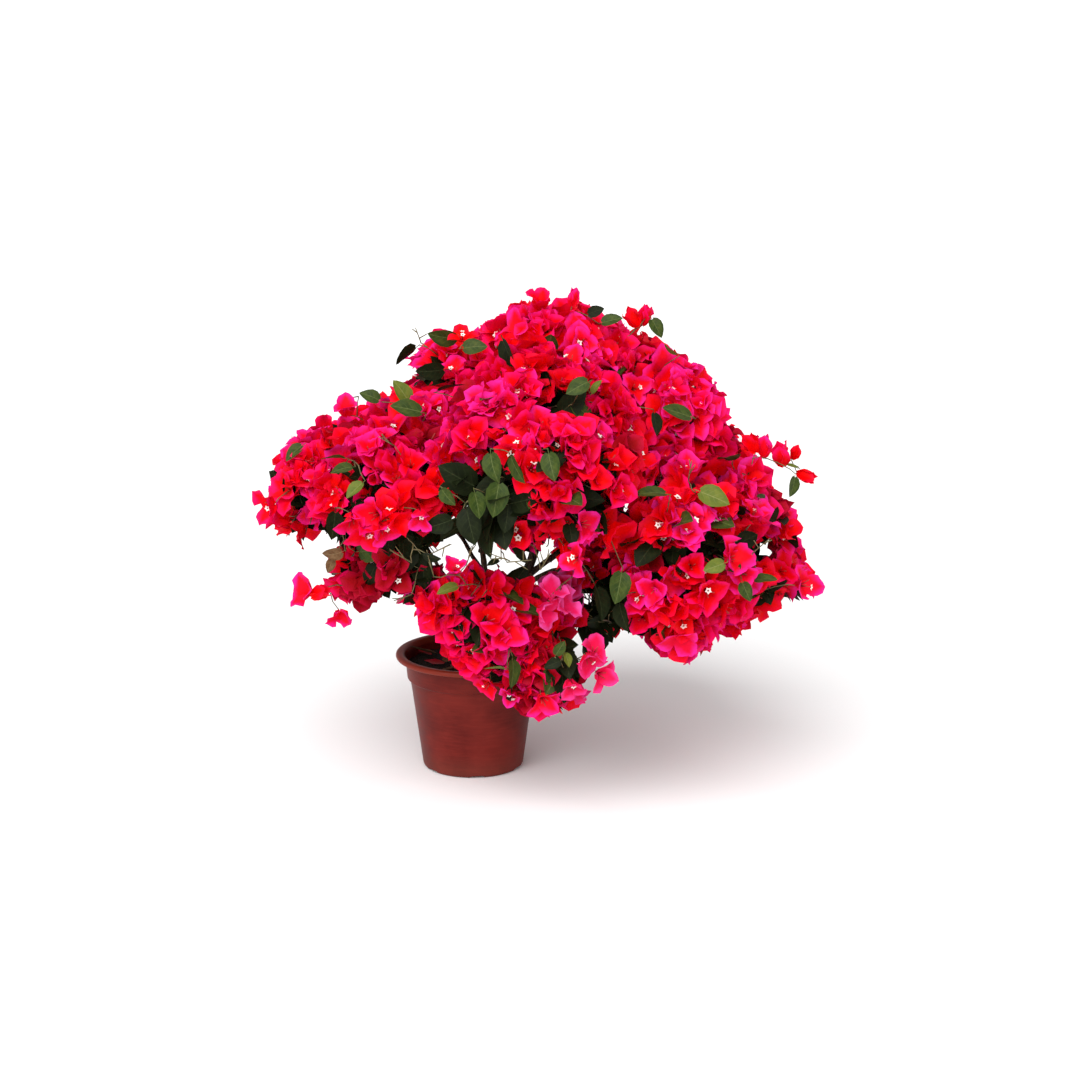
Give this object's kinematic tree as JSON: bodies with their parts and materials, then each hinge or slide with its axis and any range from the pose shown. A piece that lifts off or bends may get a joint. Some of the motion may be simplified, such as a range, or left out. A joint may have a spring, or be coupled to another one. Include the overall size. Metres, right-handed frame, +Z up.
{
  "type": "potted bougainvillea bush",
  "caption": "Wide domed flowering shrub with papery bracts, leaning out of a round plastic nursery pot filled with compost.",
  "frame": {"origin": "middle of the pot's flat underside, on the surface that the pot stands on", "axes": "+Z up, +X towards the side the crown leans to, -Y towards the front of the bush"},
  "size_m": [0.9267, 0.7731, 0.7901],
  "materials": {
    "pot": "satin moulded plastic, red-brown",
    "soil": "moist dark compost",
    "bark": "rough grey-brown bark",
    "foliage": "papery crimson bracts among green leaves"
  },
  "bodies": {
    "root": {"pot": "pot", "soil": "soil", "trunk": "bark", "bough_peak": "bark", "bough_shoulder_left": "bark", "bough_shoulder_right": "bark", "bough_shoulder_back": "bark", "bough_shoulder_front": "bark", "bough_waist_left": "bark", "bough_waist_right": "bark", "bough_waist_back": "bark", "bough_waist_back_right": "bark", "bough_waist_back_left": "bark", "bough_waist_front_left": "bark", "bough_waist_front": "bark", "bough_waist_front_right": "bark", "bough_skirt_right": "bark", "bough_skirt_back_right": "bark", "bough_skirt_front_right": "bark", "bough_skirt_front": "bark", "bough_spray_left": "bark", "bough_spray_front": "bark", "bough_spray_low": "bark", "foliage_peak": "foliage", "foliage_shoulder_left": "foliage", "foliage_shoulder_right": "foliage", "foliage_shoulder_back": "foliage", "foliage_shoulder_front": "foliage", "foliage_waist_left": "foliage", "foliage_waist_right": "foliage", "foliage_waist_back": "foliage", "foliage_waist_back_right": "foliage", "foliage_waist_back_left": "foliage", "foliage_waist_front_left": "foliage", "foliage_waist_front": "foliage", "foliage_waist_front_right": "foliage", "foliage_skirt_right": "foliage", "foliage_skirt_back_right": "foliage", "foliage_skirt_front_right": "foliage", "foliage_skirt_front": "foliage", "foliage_spray_left": "foliage", "foliage_spray_front": "foliage", "foliage_spray_low": "foliage"}
  },
  "joints": []
}
